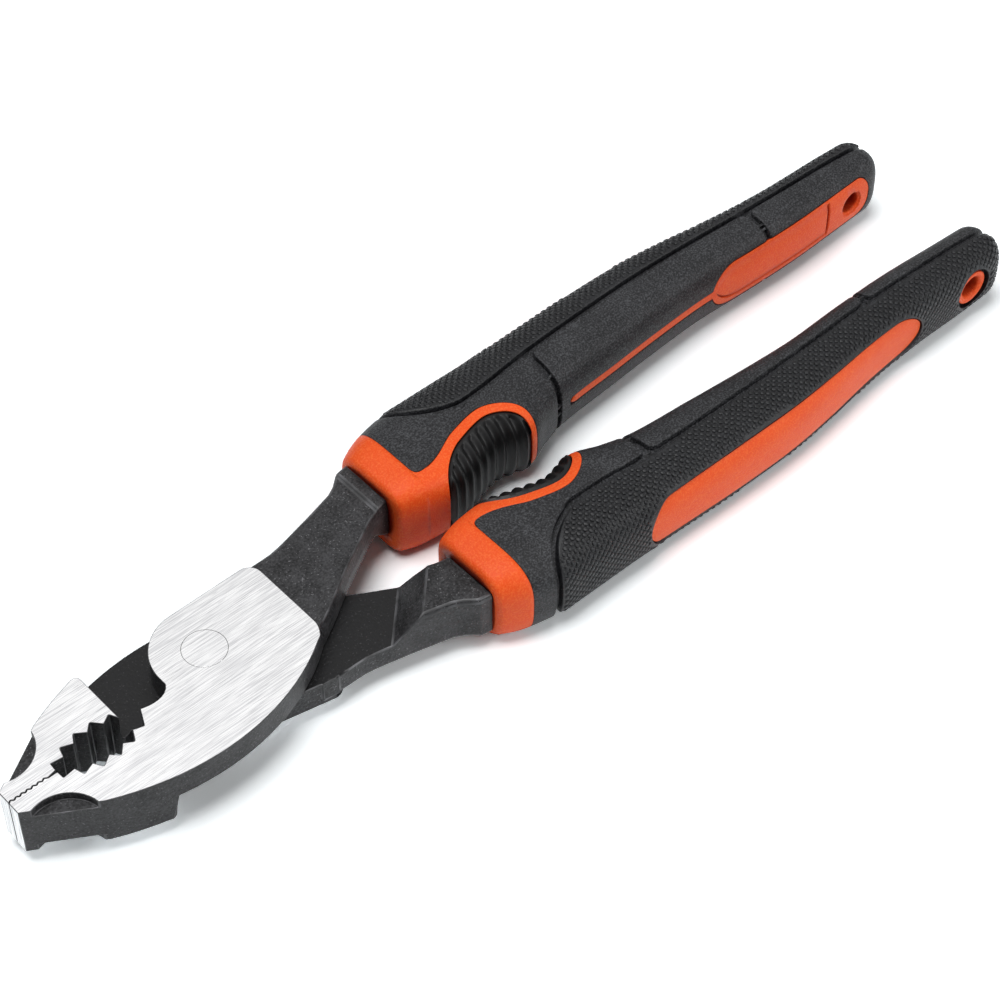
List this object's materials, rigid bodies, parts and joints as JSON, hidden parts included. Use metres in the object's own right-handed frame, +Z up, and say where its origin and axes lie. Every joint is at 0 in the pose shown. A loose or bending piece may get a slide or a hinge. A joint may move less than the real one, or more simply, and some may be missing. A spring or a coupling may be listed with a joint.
{
  "type": "slip joint pliers",
  "caption": "Slip joint pliers: lapped levers with nose teeth and a pipe grip, a pivot that slips between positions, and orange and black moulded grips with hanging holes.",
  "frame": {"origin": "middle of the closed tool's box in plan, on the surface that it lies on", "axes": "+X from the jaws to the handle tips, +Z up along the pivot, +Y to the side of the front handle and the rear jaw"},
  "size_m": [0.2056, 0.0484, 0.0165],
  "materials": {
    "bright_steel": "ground bright on the flat faces of the head, black oxide on the sides and necks",
    "black_steel": "black oxide on forged surfaces, ground bright on the jaw's face",
    "orange_plastic": "fine grain",
    "black_rubber": "fine speckled grain",
    "knobbed_rubber": "small raised knobs"
  },
  "bodies": {
    "front_half": {"front_lever": "bright_steel", "front_core": "orange_plastic", "front_cheek": "black_rubber", "front_thumb_pad": "black_rubber", "front_mid_panel": "black_rubber", "front_end_panel": "black_rubber", "front_outer_pad": "knobbed_rubber"},
    "pin": {"pivot_pin": "bright_steel"},
    "rear_half": {"rear_lever": "black_steel", "rear_core": "orange_plastic", "rear_cheek": "black_rubber", "rear_thumb_pad": "black_rubber", "rear_mid_panel": "black_rubber", "rear_end_panel": "black_rubber", "rear_outer_pad": "knobbed_rubber"}
  },
  "joints": [
    {"name": "jaw_pivot", "type": "hinge", "parent": "front_half", "child": "pin", "pos_m": [-0.0624, 0.0031, 0.00825], "axis": [0, 0, -1], "range_deg": [0, 40]},
    {"name": "slip", "type": "slide", "parent": "pin", "child": "rear_half", "axis": [0.766, 0.6428, 0], "range_m": [0, 0.0048]}
  ]
}
